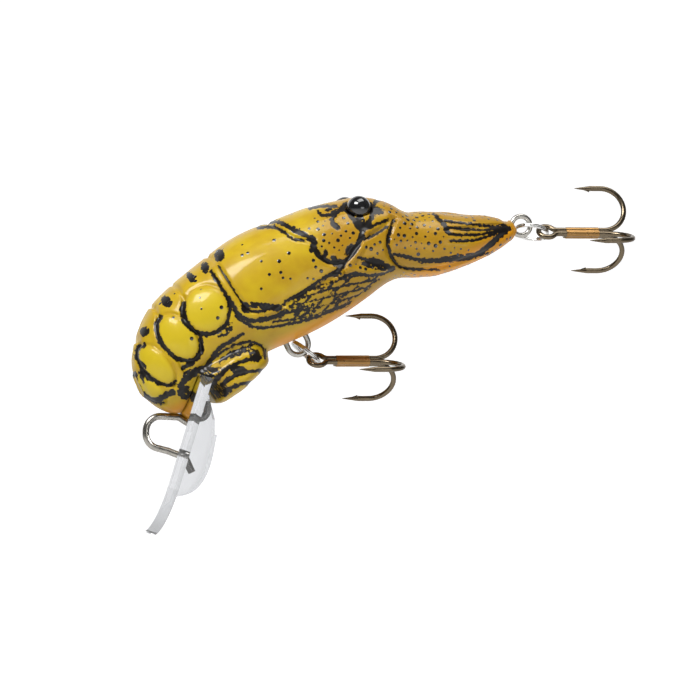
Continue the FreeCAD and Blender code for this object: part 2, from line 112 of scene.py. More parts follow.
# drawn lines: half thickness at each end, then the few places the line passes through
CARAPACE_RIM = [(6.75, 20.25), (9.0, 16.75), (10.5, 14.75), (12.5, 14.5), (15.5, 15.5)]
RIM_SPREAD = 0.55                   # the rim's two lines lie this far either side
RIM_RISE = 0.3
RIM_WIDTH = 0.5
FOLD_LINES = ("cheek", "arm_under") # a raised fold runs beside these lines
FOLD_RISE = 0.25
FOLD_WIDTH = 0.45
LINES = [
    ("back", 0.12, 0.28, [(12.75, 26.0), (14.5, 26.25), (16.5, 25.25), JAW_TOP]),
    ("neck", 0.14, 0.12, [(12.0, 25.5), (14.25, 25.5), (16.75, 24.0), JAW_TOP]),
    ("jaw", 0.28, 0.18, [JAW_TOP, (19.25, 22.5), (20.75, 21.25), (22.75, 21.25)]),
    ("cheek", 0.25, 0.2, [EYE_FORK, (24.25, 22.75), (22.5, 20.75), (21.5, 19.5)]),
    ("arm_top", 0.16, 0.1, [EYE_FORK, (26.5, 25.75), (28.25, 26.5)]),
    ("arm_middle", 0.14, 0.1, [(25.25, 24.0), (26.75, 24.75), (28.25, 25.75)]),
    ("arm_band", 0.12, 0.25, [(24.5, 21.75), (26.5, 21.25), (28.75, 20.5)]),
    ("arm_under", 0.18, 0.14, [(22.25, 19.25), (24.0, 19.75), (26.5, 19.5), (28.75, 20.25)]),
    ("wrist", 0.13, 0.13, [(29.0, 26.5), (28.25, 24.0), (28.75, 21.75), (30.25, 20.5), (34.5, 20.25)]),
    ("palm_under", 0.14, 0.28, [(29.0, 22.25), (32.0, 21.5), (36.0, 21.5), (39.5, 22.25), CLAW_TIP]),
    ("finger_split", 0.14, 0.24, [(34.0, 27.25), (35.0, 26.25), (35.75, 25.0)]),
    ("leg_root", 0.14, 0.12, [(10.25, 13.75), (12.0, 13.0), (14.75, 13.25), (19.0, 14.25), (23.5, 16.0)]),
    ("leg_top", 0.14, 0.18, [(15.5, 16.25), (17.5, 17.25), (19.25, 18.5), (21.75, 20.0)]),
    ("brow", 0.18, 0.12, [(18.5, 28.0), (20.0, 28.25), (21.75, 28.25)]),
    ("brow_loop", 0.12, 0.2, [(19.5, 27.5), (20.25, 27.0), (22.0, 27.5), (23.0, 28.5)]),
    ("brow_drop", 0.14, 0.26, [(21.75, 27.25), (21.25, 26.25), (22.0, 25.5)]),
    ("eye_front", 0.2, 0.28, [(23.0, 27.75), (24.0, 26.5), EYE_FORK]),
    ("eye_rear", 0.22, 0.26, [(26.25, 27.0), (25.75, 26.0), EYE_FORK]),
    ("temple", 0.28, 0.18, [(26.25, 27.5), (27.5, 27.5)]),
    ("temple_up", 0.2, 0.16, [(26.25, 28.25), (27.0, 29.0)]),
    ("second_fold", 0.26, 0.2, [(5.0, 11.5), (5.0, 10.0), (4.0, 8.75), (2.75, 8.0)]),
    ("chin_fold", 0.24, 0.3, [(-1.75, 4.5), (-0.5, 4.25), (1.5, 5.0)]),
    ("fan_root", 0.26, 0.26, [(2.5, 5.75), (3.5, 7.0), FAN_FOOT]),
    ("fan_edge", 0.12, 0.12, [FAN_FOOT, (8.0, 10.25), (11.0, 11.25), (12.75, 10.5), (13.0, 9.25)]),
]
# solid ink: name, centre, half length, half height, tilt in degrees
PATCHES = [
    ("eye_socket", (24.75, 28.25), 1.5, 1.0, 0),
    ("tail_edge", (-2.25, 7.25), 0.35, 1.0, 17),
    ("rim_foot", (10.5, 15.5), 0.6, 0.7, 20),
    ("rim_toe", (14.25, 15.5), 0.75, 0.4, 0),
    ("jaw_blot", (18.75, 22.75), 0.3, 0.45, 0),
    ("jaw_spot", (20.5, 22.25), 0.3, 0.5, -20),
    ("jaw_foot", (21.5, 21.5), 0.4, 0.5, 0),
    ("cheek_blot", (23.5, 22.75), 0.9, 0.45, 50),
    ("arm_blot", (26.75, 21.25), 1.25, 0.45, -12),
    ("claw_point", (43.0, 25.5), 0.75, 0.4, 0),
]

# mottled ink: name, centre, half length, half height, tilt in degrees, cover from 0 to 1
SMUDGES = [
    ("beside_rim", (8.0, 12.75), 1.75, 1.0, 40, 0.64),
    ("under_rim", (12.5, 15.75), 2.75, 0.6, -5, 0.68),
    ("rim_corner", (9.75, 14.25), 0.9, 0.5, -45, 0.64),
    ("leg_start", (18.0, 15.25), 2.75, 1.25, 18, 0.58),
    ("fan_band", (9.5, 9.75), 3.0, 0.45, 22, 0.74),
    ("fan_end", (11.75, 9.5), 1.0, 1.25, 20, 0.7),
    ("fan_middle", (9.75, 7.75), 1.5, 0.75, -12, 0.74),
    ("fan_inner", (7.25, 7.0), 0.75, 0.4, 10, 0.74),
    ("fan_low", (8.0, 5.0), 1.6, 0.75, 30, 0.64),
    ("segment_gaps", (3.75, 7.25), 1.75, 0.9, 30, 0.68),
    ("chin", (3.0, 5.0), 1.25, 1.25, 0, 0.68),
    ("upper_back", (0.75, 16.25), 1.1, 0.8, -45, 0.8),
    ("mid_back", (3.75, 19.25), 0.6, 1.1, 35, 0.78),
    ("fore_back", (5.5, 20.5), 0.7, 1.0, 10, 0.78),
    ("rim_back", (7.25, 22.0), 0.9, 1.1, -10, 0.74),
    ("lower_back", (-2.0, 12.5), 0.8, 0.9, -30, 0.74),
    ("third_back", (-2.0, 10.75), 0.4, 0.7, 0, 0.7),
    ("tail_back", (-2.25, 8.5), 1.25, 0.5, -35, 0.7),
    ("brow", (21.25, 27.75), 1.25, 0.5, 5, 0.64),
    ("front_of_eye", (22.75, 28.0), 0.9, 0.6, 40, 0.68),
    ("behind_eye", (26.75, 27.75), 1.0, 0.6, 0, 0.66),
    ("under_eye", (24.75, 26.25), 0.9, 1.1, 0, 0.7),
    ("cheek_corner", (22.0, 21.0), 1.1, 0.75, 0, 0.66),
    ("arm", (26.5, 20.75), 2.25, 0.6, -12, 0.68),
    ("palm_band", (36.5, 21.75), 7.0, 0.5, 8, 0.64),
    ("finger_end", (42.25, 25.5), 1.5, 0.75, 15, 0.64),
]

# walking legs folded along the flank: lines fanning forward, joined by bars
LEG_LINES = 5
LEG_FROM_LOW = (14.0, 13.75)
LEG_FROM_HIGH = (18.0, 17.5)
LEG_TO_LOW = (23.75, 16.25)
LEG_TO_HIGH = (28.5, 20.0)
LEG_SAG = 0.5
LEG_BARS = 6

FAN_HINGE = (1.6, 3.0)              # the folded tail fan's ribs spread from here
FAN_RIBS = 5
FAN_FIRST = math.radians(14.0)
FAN_LAST = math.radians(47.0)
FAN_NEAR = 5.2
FAN_FAR = 12.6
FAN_BULGE = 0.9

CLAW_LINES = 4                      # finger lines that meet at the claw's tip
CLAW_HEEL = 35.4
CLAW_TOP = 26.4
CLAW_STEP = 0.85
CLAW_SHIFT = 0.2                    # each line starts this much nearer the tip
CLAW_MIDDLE = (39.4, 25.9)
CLAW_MIDDLE_STEP = 0.62


# half thickness at each end of the lines that loops make
SEGMENT_INK = (0.3, 0.14)
RIM_FRONT_INK = (0.12, 0.12)        # the side toward the carapace
RIM_BACK_INK = (0.18, 0.2)          # the side toward the tail segments
LEG_INK = (0.1, 0.07)
BAR_INK = (0.08, 0.08)
FAN_INK = (0.24, 0.14)
CLAW_INK = (0.12, 0.13)
NO_INK = 9.0                        # ink distance given to the skin's inside

# paint zones: each pair is where a smooth change starts and where it ends
BELLY_EDGE = (3.9, 5.4)             # body height where orange gives way to the flank
BELLY_FROM = (15.5, 18.0)           # station where the orange underside comes in
CHIN_EDGE = (1.8, 3.4)              # body height where the low end's orange gives way
CHIN_TO = (4.5, 5.5)                # station where the low end's orange gives way
PAINTED_SHADE_FROM = (17.5, 23.0)           # run where painted shade comes in: the head and claws turn darker brown

# speckle zones, written the same way
INK_CLEAR = (0.3, 0.55)             # distance from the ink
SEAM_CLEAR = (0.8, 1.6)             # distance from the seam
UPPER_FROM = (5.0, 6.5)             # body height
CLAWS_FROM = (28.0, 29.0)           # run
HEAD_FROM = (17.5, 20.0)            # run
SPARSE = 0.12                       # share of speckles behind the head
SPECKLE_SEED = 3

AIM = (24.07, 0, 10.25)             # the camera and every lamp but the wall's point here
LENS = 411.0
FLOOR_DROP = 120.0


# ---------------------------------------------------------------- side-view geometry
def smooth_line(points, steps=14):
    """Points along a smooth curve through the given places."""
    p = np.array([points[0], *points, points[-1]], float)
    out = []
    for k in range(1, len(p) - 2):
        for u in np.linspace(0.0, 1.0, steps, endpoint=False):
            a = 2 * p[k]
            b = (p[k + 1] - p[k - 1]) * u
            c = (2 * p[k - 1] - 5 * p[k] + 4 * p[k + 1] - p[k + 2]) * u ** 2
            d = (3 * p[k] - p[k - 1] - 3 * p[k + 1] + p[k + 2]) * u ** 3
            out.append((a + b + c + d) / 2)
    out.append(p[-2])
    return np.array(out)


def ellipse_arc(centre, long, high, tilt, start, stop, steps=40):
    a = np.radians(np.linspace(start, stop, steps))
    lean = math.radians(tilt)
    x = long * np.cos(a)
    z = high * np.sin(a)
    run = centre[0] + x * math.cos(lean) - z * math.sin(lean)
    height = centre[1] + x * math.sin(lean) + z * math.cos(lean)
    return np.stack([run, height], 1)


def sideways(line, by):
    """The line moved sideways by a fixed distance."""
    along = np.gradient(line, axis=0)
    along /= np.linalg.norm(along, axis=1)[:, None]
    return line + np.stack([-along[:, 1], along[:, 0]], 1) * by


def ellipse_reach(places, centre, long, high, tilt):
    """0 at the middle of an ellipse, 1 on its edge."""
    lean = math.radians(tilt)
    d = places - np.array(centre)
    x = d[:, 0] * math.cos(lean) + d[:, 1] * math.sin(lean)
    z = -d[:, 0] * math.sin(lean) + d[:, 1] * math.cos(lean)
    return np.sqrt((x / long) ** 2 + (z / high) ** 2)


def line_distance(places, line, start_half, end_half):
    """Distance to the edge of a tapering line, negative inside it."""
    best = np.full(len(places), 1e9)
    count = len(line) - 1
    for k in range(count):
        a = line[k]
        run = line[k + 1] - a
        u = np.clip((places - a) @ run / max(run @ run, 1e-12), 0, 1)
        gap = np.linalg.norm(places - a - u[:, None] * run, axis=1)
        half = start_half + (end_half - start_half) * (k + u) / count
        best = np.minimum(best, gap - half)
    return best


def leg_lines():
    """The leg lines, then the bars that join neighbouring lines."""
    low_start, high_start = np.array(LEG_FROM_LOW), np.array(LEG_FROM_HIGH)
    low_end, high_end = np.array(LEG_TO_LOW), np.array(LEG_TO_HIGH)
    lines = []
    for k in range(LEG_LINES):
        part = k / (LEG_LINES - 1)
        start = low_start + (high_start - low_start) * part
        end = low_end + (high_end - low_end) * part
        middle = (start + end) / 2 + np.array([0.0, LEG_SAG * (2 * part - 1)])
        lines.append(smooth_line([start, middle, end]))
    bars = []
    for k in range(LEG_LINES - 1):
        for b in range(LEG_BARS):
            at = (b + 0.5 + 0.35 * math.sin(2.4 * b + 1.7 * k)) / LEG_BARS
            i = int(at * (len(lines[k]) - 1))
            bars.append(np.array([lines[k][i], lines[k + 1][i]]))
    return lines, bars


def fan_lines():
    """The ribs of the folded tail fan."""
    lines = []
    for k in range(FAN_RIBS):
        a = FAN_FIRST + (FAN_LAST - FAN_FIRST) * k / (FAN_RIBS - 1)
        out = np.array([math.cos(a), math.sin(a)])
        side = np.array([-math.sin(a), math.cos(a)])
        hinge = np.array(FAN_HINGE)
        middle = hinge + out * (FAN_NEAR + FAN_FAR) / 2 + side * FAN_BULGE
        lines.append(smooth_line([hinge + out * FAN_NEAR, middle, hinge + out * FAN_FAR]))
    return lines


def claw_lines():
    """The finger lines, drawn together at the claw's tip."""
    lines = []
    for k in range(CLAW_LINES):
        start = (CLAW_HEEL + CLAW_SHIFT * k, CLAW_TOP - CLAW_STEP * k)
        middle = (CLAW_MIDDLE[0], CLAW_MIDDLE[1] - CLAW_MIDDLE_STEP * k)
        lines.append(smooth_line([start, middle, CLAW_TIP]))
    return lines


def all_ink():
    """Every drawn line as (points, half thickness at the start, at the end)."""
    marks = []
    for _, centre, long, high, tilt, start, stop in LOBES:
        marks.append((ellipse_arc(centre, long, high, tilt, start, stop), *SEGMENT_INK))
    rim = smooth_line(CARAPACE_RIM)
    marks.append((sideways(rim, RIM_SPREAD), *RIM_FRONT_INK))
    marks.append((sideways(rim, -RIM_SPREAD), *RIM_BACK_INK))
    for _, start_half, end_half, points in LINES:
        marks.append((smooth_line(points), start_half, end_half))
    lines, bars = leg_lines()
    marks += [(line, *LEG_INK) for line in lines]
    marks += [(bar, *BAR_INK) for bar in bars]
    marks += [(line, *FAN_INK) for line in fan_lines()]
    marks += [(line, *CLAW_INK) for line in claw_lines()]
    return marks


def ink_distance(places):
    """Distance to the nearest ink edge, negative inside the ink."""
    best = np.full(len(places), 1e9)
    for line, start_half, end_half in all_ink():
        halves = (start_half * INK_WEIGHT, end_half * INK_WEIGHT)
        best = np.minimum(best, line_distance(places, line, *halves))
    for _, centre, long, high, tilt in PATCHES:
        reach = ellipse_reach(places, centre, long, high, tilt)
        best = np.minimum(best, (reach - 1) * min(long, high))
    return best


def smudge_amount(places):
    """How much of the surface the mottled ink covers, 0 to 1."""
    best = np.zeros(len(places))
    for _, centre, long, high, tilt, cover in SMUDGES:
        reach = ellipse_reach(places, centre, long, high, tilt)
        best = np.maximum(best, cover * (1 - step(reach, 0.55, 1.15)))
    return best


def step(value, low, high):
    """A smooth rise from 0 at low to 1 at high."""
    u = np.clip((value - low) / (high - low), 0, 1)
    return u * u * (3 - 2 * u)


def pad_amount(places):
    """1 on the middle of a tail segment, 0 off it."""
    best = np.zeros(len(places))
    for _, centre, long, high, tilt, _, _ in LOBES:
        best = np.maximum(best, 1 - ellipse_reach(places, centre, long, high, tilt) ** 2)
    return np.clip(best, 0, 1)


def relief(places, ink):
    """How far the moulded surface stands out from the plain body."""
    rise = LOBE_RISE * np.sqrt(pad_amount(places))
    for _, centre, long, high, tilt, _, _ in LOBES:
        reach = ellipse_reach(places, centre, long, high, tilt)
        rise -= LOBE_DITCH * np.exp(-((reach - DITCH_AT) / DITCH_WIDTH) ** 2)
    rim = smooth_line(CARAPACE_RIM)
    from_rim = np.maximum(line_distance(places, rim, 0, 0), 0)
    rise += RIM_RISE * np.exp(-(from_rim / RIM_WIDTH) ** 2)
    for name, _, _, points in LINES:
        if name in FOLD_LINES:
            fold = sideways(smooth_line(points), FOLD_WIDTH)
            rise += FOLD_RISE * np.exp(-(line_distance(places, fold, 0, 0) / FOLD_WIDTH) ** 2)
    rise -= INK_ENGRAVE * (1 - step(ink, -0.1, 0.15))
    low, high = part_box("belly_hanger_wire")
    eye = np.array([high.x / MM - HANGER_EYE_IN, low.z / MM + HANGER_EYE_IN])
    away = np.linalg.norm(places - eye, axis=1)
    return rise * step(away, 0.6 * CLEAR_OF_RING, CLEAR_OF_RING)


# ---------------------------------------------------------------- body skins
def along_body(points):
    """Lure places turned into (station, across, height) on the tilted body axis."""
    c, s = math.cos(BODY_TILT), math.sin(BODY_TILT)
    x, y, z = points[:, 0], points[:, 1], points[:, 2]
    return np.stack([c * x + s * z, y, -s * x + c * z], 1)


def from_body(points):
    """The reverse of along_body."""
    c, s = math.cos(BODY_TILT), math.sin(BODY_TILT)
    a, y, t = points[:, 0], points[:, 1], points[:, 2]
    return np.stack([c * a - s * t, y, s * a + c * t], 1)


def shell_surface(node):
    """A packed shell's points in body axes, and a tree to cast rays at."""
    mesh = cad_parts[node].data
    co = np.empty(len(mesh.vertices) * 3)
    mesh.vertices.foreach_get("co", co)
    points = along_body(co.reshape(-1, 3) / MM)
    faces = [tuple(p.vertices) for p in mesh.polygons]
    return points, BVHTree.FromPolygons(points.tolist(), faces)


def first_hit(tree, start, way):
    hit = tree.ray_cast(Vector(start), Vector(way))[0]
    return None if hit is None else np.array(hit)


def body_middle(points, stations):
    """Height of the body's middle at each station, smoothed."""
    middle = []
    for s in stations:
        near = points[np.abs(points[:, 0] - s) < MIDDLE_REACH]
        middle.append((near[:, 2].min() + near[:, 2].max()) / 2)
    middle = smoothed(np.array(middle)[:, None], MIDDLE_SMOOTH)
    return trued_claws(middle, stations)[:, 0]


def trued_claws(columns, stations):
    """Each column made to run evenly along the claws."""
    on_claws = (stations > CLAW_START) & (stations < CLAW_END)
    s = stations[on_claws] - CLAW_START
    even = columns.copy()
    for j in range(columns.shape[1]):
        fit = np.polynomial.Polynomial.fit(s, columns[on_claws, j], CLAW_CURVE)
        even[on_claws, j] = fit(s)
    amount = step(stations, CLAW_START, CLAW_START + CLAW_FADE)
    amount = amount * (1 - step(stations, CLAW_END - CLAW_FADE, CLAW_END))
    return columns + (even - columns) * amount[:, None]


def smoothed(grid, width):
    """The grid smoothed down its rows."""
    window = np.hanning(width + 2)[1:-1]
    window /= window.sum()
    padded = np.pad(grid, ((width // 2, width // 2), (0, 0)), mode="edge")
    return sum(w * padded[k:k + len(grid)] for k, w in enumerate(window))


def sampled_skin(node):
    """Outer surface of a shell as a grid of rows, with each row's middle."""
    points, tree = shell_surface(node)
    u = np.linspace(0, 1, STATIONS)
    spread = 0.75 * u + 0.25 * (1 - np.cos(np.pi * u)) / 2
    first = points[:, 0].min() + END_GAP
    last = points[:, 0].max() - END_GAP
    stations = first + (last - first) * spread
    middles = body_middle(points, stations)
    turn = np.pi / 2 - np.pi * np.arange(AROUND) / (AROUND - 1)
    ways = np.stack([0 * turn, -np.cos(turn), np.sin(turn)], 1)
    centres = np.stack([stations, np.full(STATIONS, -SEAM_INSET), middles], 1)
    reach = np.zeros((STATIONS, AROUND))
    for i, centre in enumerate(centres):
        for j, way in enumerate(ways):
            hit = first_hit(tree, centre + way * RAY_START, -way)
            reach[i, j] = np.nan if hit is None else max(float((hit - centre) @ way), 0.3)
        found = np.isfinite(reach[i])
        reach[i] = np.interp(turn[::-1], turn[::-1][found[::-1]], reach[i][::-1][found[::-1]])[::-1]
    reach = trued_claws(smoothed(smoothed(reach, RAY_SMOOTH).T, RAY_SMOOTH).T, stations)
    plain = smoothed(smoothed(reach, PAD_SMOOTH[0]).T, PAD_SMOOTH[1]).T
    rough = centres[:, None, :] + ways[None] * reach[:, :, None]
    pads = pad_amount(side_places(from_body(rough.reshape(-1, 3)))).reshape(STATIONS, AROUND)
    on_pad = step(pads, 0.0, 0.2)
    reach = reach * (1 - on_pad) + plain * on_pad
    grid = centres[:, None, :] + ways[None] * reach[:, :, None]
    return grid, centres


def grid_normals(grid):
    """Outward normals of a skin grid."""
    along = np.gradient(grid, axis=0)
    around = np.gradient(grid, axis=1)
    n = np.cross(along, around)
    n /= np.linalg.norm(n, axis=2)[:, :, None] + 1e-12
    flat = (n * (grid - grid.mean(axis=1, keepdims=True))).sum(axis=2)
    return n * np.sign(np.median(flat))


def side_places(points):
    """Where each skin point falls in the side view; the same on both flanks."""
    run = points[:, 0] * math.cos(VIEW_TURN) + np.abs(points[:, 1]) * math.sin(VIEW_TURN)
    return np.stack([run, points[:, 2]], 1)


def half_skin_faces():
    """Faces of a hollow half skin: outside, inside, the two end caps and the seam."""
    rows, cols = STATIONS, AROUND
    count = rows * cols
    poles = [2 * count, 2 * count + 1, 2 * count + 2, 2 * count + 3]
    faces = []
    for i in range(rows - 1):
        for j in range(cols - 1):
            a = i * cols + j
            quad = (a, a + 1, a + cols + 1, a + cols)
            faces.append(quad)
            faces.append(tuple(count + v for v in reversed(quad)))
    for j in range(cols - 1):
        end = (rows - 1) * cols + j
        faces.append((poles[0], j + 1, j))
        faces.append((poles[1], end, end + 1))
        faces.append((poles[2], count + j, count + j + 1))
        faces.append((poles[3], count + end + 1, count + end))
    outer = [i * cols for i in range(rows)]
    outer += [poles[1]]
    outer += [i * cols + cols - 1 for i in reversed(range(rows))]
    outer += [poles[0]]
    inner = [v + count if v < count else v + 2 for v in outer]
    for k in range(len(outer)):
        n = (k + 1) % len(outer)
        faces.append((outer[k], outer[n], inner[n], inner[k]))
    return faces


def skin_mesh(name, points, faces, values):
    mesh = bpy.data.meshes.new(name)
    mesh.from_pydata((points * MM).tolist(), [], faces)
    for key, data in values.items():
        layer = mesh.attributes.new(key, "FLOAT", "POINT")
        layer.data.foreach_set("value", data.astype(np.float32))
    mesh.shade_smooth()
    mesh.validate()
    obj = bpy.data.objects.new(name, mesh)
    bpy.context.scene.collection.objects.link(obj)
    make_outward(obj)
    return obj


def make_outward(obj):
    bpy.context.view_layer.objects.active = obj
    obj.select_set(True)
    bpy.ops.object.mode_set(mode="EDIT")
    bpy.ops.mesh.select_all(action="SELECT")
    bpy.ops.mesh.normals_make_consistent(inside=False)
    bpy.ops.object.mode_set(mode="OBJECT")
    obj.select_set(False)


def body_skins():
    """Both painted half skins; the right one is the left one mirrored."""
    grid, centres = sampled_skin("body_left_shell")
    normals = grid_normals(grid)
    flat = from_body(grid.reshape(-1, 3))
    places = side_places(flat)
    ink = ink_distance(places)
    rise = relief(places, ink).reshape(STATIONS, AROUND)
    ends = np.minimum(np.arange(STATIONS), np.arange(STATIONS)[::-1])
    rise *= step(ends, 0, 8)[:, None]
    outside = grid + normals * rise[:, :, None]
    outside[:, 0, 1] = -SEAM_INSET
    outside[:, -1, 1] = -SEAM_INSET
    toward = centres[:, None, :] - outside
    depth = np.linalg.norm(toward, axis=2)[:, :, None] + 1e-9
    inside = outside + toward / depth * np.minimum(SKIN_WALL, 0.45 * depth)
    tips = np.array([centres[0], centres[-1], centres[0], centres[-1]])
    tips[:, 0] += (-TIP_OUT, TIP_OUT, TIP_IN, -TIP_IN)
    body = np.concatenate([outside.reshape(-1, 3), inside.reshape(-1, 3), tips])
    points = from_body(body)
    count = STATIONS * AROUND
    painted = {
        "ink": ink,
        "pad": pad_amount(places),
        "belly": belly_amount(flat),
        "smudge": smudge_amount(places),
        # painted shade: how far the head and claws are darkened toward brown
        "head": step(places[:, 0], *PAINTED_SHADE_FROM),
        "speckle": speckle_amount(flat, places, ink),
    }
    values = {}
    for key, amount in painted.items():
        inner = np.full(count + len(tips), NO_INK if key == "ink" else 0.0)
        values[key] = np.concatenate([amount, inner])
    faces = half_skin_faces()
    left = skin_mesh("left_skin", points, faces, values)
    other = points * np.array([1, -1, 1])
    right = skin_mesh("right_skin", other, [tuple(reversed(f)) for f in faces], values)
    return left, right


def belly_amount(points):
    """The orange underside, from the tail fan on, and the low end above the lip."""
    body = along_body(points)
    under = 1 - step(body[:, 2], *BELLY_EDGE)
    past_fan = step(body[:, 0], *BELLY_FROM)
    chin = (1 - step(body[:, 2], *CHIN_EDGE)) * (1 - step(body[:, 0], *CHIN_TO))
    return np.maximum(under * past_fan, chin)


def speckle_amount(points, places, ink):
    """Speckles fall on the carapace, cheeks, palms and segments, away from ink and belly."""
    clear = step(ink, *INK_CLEAR)
    flank = step(np.abs(points[:, 1]), *SEAM_CLEAR)
    body = along_body(points)
    upper = step(body[:, 2], *UPPER_FROM)
    claw = step(places[:, 0], *CLAWS_FROM)
    head = step(places[:, 0], *HEAD_FROM)
    return clear * flank * np.maximum(upper, claw) * (SPARSE + (1 - SPARSE) * np.maximum(head, claw))


# ---------------------------------------------------------------- raised ink speckles
def speckle_tree():
    """Scatters flat ink domes over a skin where its speckle attribute allows."""
    tree = bpy.data.node_groups.new("ink_speckles", "GeometryNodeTree")
    face = tree.interface
    face.new_socket("Geometry", in_out="INPUT", socket_type="NodeSocketGeometry")
    for label in ("Spacing", "Density", "Smallest", "Largest"):
        face.new_socket(label, in_out="INPUT", socket_type="NodeSocketFloat")
    face.new_socket("Seed", in_out="INPUT", socket_type="NodeSocketInt")
    face.new_socket("Ink", in_out="INPUT", socket_type="NodeSocketMaterial")
    face.new_socket("Geometry", in_out="OUTPUT", socket_type="NodeSocketGeometry")
    make = tree.nodes.new
    link = tree.links.new
    given = make("NodeGroupInput")
    result = make("NodeGroupOutput")
    allow = make("GeometryNodeInputNamedAttribute")
    allow.data_type = "FLOAT"
    allow.inputs["Name"].default_value = "speckle"
    scatter = make("GeometryNodeDistributePointsOnFaces")
    scatter.distribute_method = "POISSON"
    link(given.outputs["Geometry"], scatter.inputs["Mesh"])
    link(given.outputs["Spacing"], scatter.inputs["Distance Min"])
    link(given.outputs["Density"], scatter.inputs["Density Max"])
    link(allow.outputs["Attribute"], scatter.inputs["Density Factor"])
    link(given.outputs["Seed"], scatter.inputs["Seed"])
    dome = make("GeometryNodeMeshUVSphere")
    dome.inputs["Segments"].default_value = 10
    dome.inputs["Rings"].default_value = 5
    dome.inputs["Radius"].default_value = 1.0
    flatten = make("GeometryNodeTransform")
    flatten.inputs["Scale"].default_value = (1.0, 1.0, 0.14)
    link(dome.outputs["Mesh"], flatten.inputs["Geometry"])
    size = make("FunctionNodeRandomValue")
    size.data_type = "FLOAT"
    floats = [s for s in size.inputs if s.type == "VALUE"]
    link(given.outputs["Smallest"], floats[0])
    link(given.outputs["Largest"], floats[1])
    link(given.outputs["Seed"], size.inputs["Seed"])
    place = make("GeometryNodeInstanceOnPoints")
    link(scatter.outputs["Points"], place.inputs["Points"])
    link(flatten.outputs["Geometry"], place.inputs["Instance"])
    link(scatter.outputs["Rotation"], place.inputs["Rotation"])
    drawn = [s for s in size.outputs if s.type == "VALUE"][0]
    link(drawn, place.inputs["Scale"])
    real = make("GeometryNodeRealizeInstances")
    link(place.outputs["Instances"], real.inputs["Geometry"])
    finish = make("GeometryNodeSetMaterial")
    link(real.outputs["Geometry"], finish.inputs["Geometry"])
    link(given.outputs["Ink"], finish.inputs["Material"])
    link(finish.outputs["Geometry"], result.inputs["Geometry"])
    return tree


def made_plain(obj, name):
    """The evaluated object as a plain mesh piece."""
    view = bpy.context.evaluated_depsgraph_get()
    mesh = bpy.data.meshes.new_from_object(obj.evaluated_get(view))
    mesh.name = name
    piece = bpy.data.objects.new(name, mesh)
    bpy.context.scene.collection.objects.link(piece)
    return piece


def speckles(skin, name, tree, ink):
    """The speckle domes of one skin as a plain piece."""
    host = bpy.data.objects.new(name + "_host", skin.data.copy())
    bpy.context.scene.collection.objects.link(host)
    scatter = host.modifiers.new("scatter", "NODES")
    scatter.node_group = tree
    wanted = {
        "Spacing": 0.7 * MM,
        "Density": 8.0e6,
        "Smallest": 0.1 * MM,
        "Largest": 0.28 * MM,
        "Seed": SPECKLE_SEED,
        "Ink": ink,
    }
    for item in tree.interface.items_tree:
        if item.in_out == "INPUT" and item.name in wanted:
            scatter[item.identifier] = wanted[item.name]
    piece = made_plain(host, name)
    bpy.data.objects.remove(host)
    return piece


# ---------------------------------------------------------------- finishes
def finish_material(name, **sockets):
    mat = bpy.data.materials.new(name)
    mat.use_nodes = True
    shader = mat.node_tree.nodes["Principled BSDF"]
    for key, value in sockets.items():
        shader.inputs[key.replace("_", " ")].default_value = value
    return mat, mat.node_tree, shader


def noise(tree, scale, detail=3.0):
    where = tree.nodes.new("ShaderNodeTexCoord")
    cloud = tree.nodes.new("ShaderNodeTexNoise")
    cloud.inputs["Scale"].default_value = scale
    cloud.inputs["Detail"].default_value = detail
    tree.links.new(where.outputs["Object"], cloud.inputs["Vector"])
    return cloud.outputs["Fac"]


def spread_range(tree, value, low, high, to_low=0.0, to_high=1.0):
    node = tree.nodes.new("ShaderNodeMapRange")
    node.inputs["From Min"].default_value = low
    node.inputs["From Max"].default_value = high
    node.inputs["To Min"].default_value = to_low
    node.inputs["To Max"].default_value = to_high
    tree.links.new(value, node.inputs["Value"])
    return node.outputs["Result"]


def sum_of(tree, a, b):
    node = tree.nodes.new("ShaderNodeMath")
    node.operation = "ADD"
    tree.links.new(a, node.inputs[0])
    tree.links.new(b, node.inputs[1])
    return node.outputs[0]


def blend_colour(tree, amount, a, b):
    node = tree.nodes.new("ShaderNodeMix")
    node.data_type = "RGBA"
    tree.links.new(amount, node.inputs["Factor"])
    for socket, value in ((node.inputs[6], a), (node.inputs[7], b)):
        if isinstance(value, tuple):
            socket.default_value = (*value, 1.0)
        else:
            tree.links.new(value, socket)
    return node.outputs[2]


def reading(tree, name):
    node = tree.nodes.new("ShaderNodeAttribute")
    node.attribute_name = name
    return node.outputs["Fac"]


OLIVE = (0.5, 0.34, 0.008)
PAD_YELLOW = (0.53, 0.39, 0.012)
BELLY_ORANGE = (0.62, 0.26, 0.004)
BACK_BROWN = (0.32, 0.16, 0.008)
# dark brown of the painted shade on the head and claws
HEAD_SHADE_BROWN = (0.3, 0.12, 0.004)
INK = (0.005, 0.0035, 0.003)


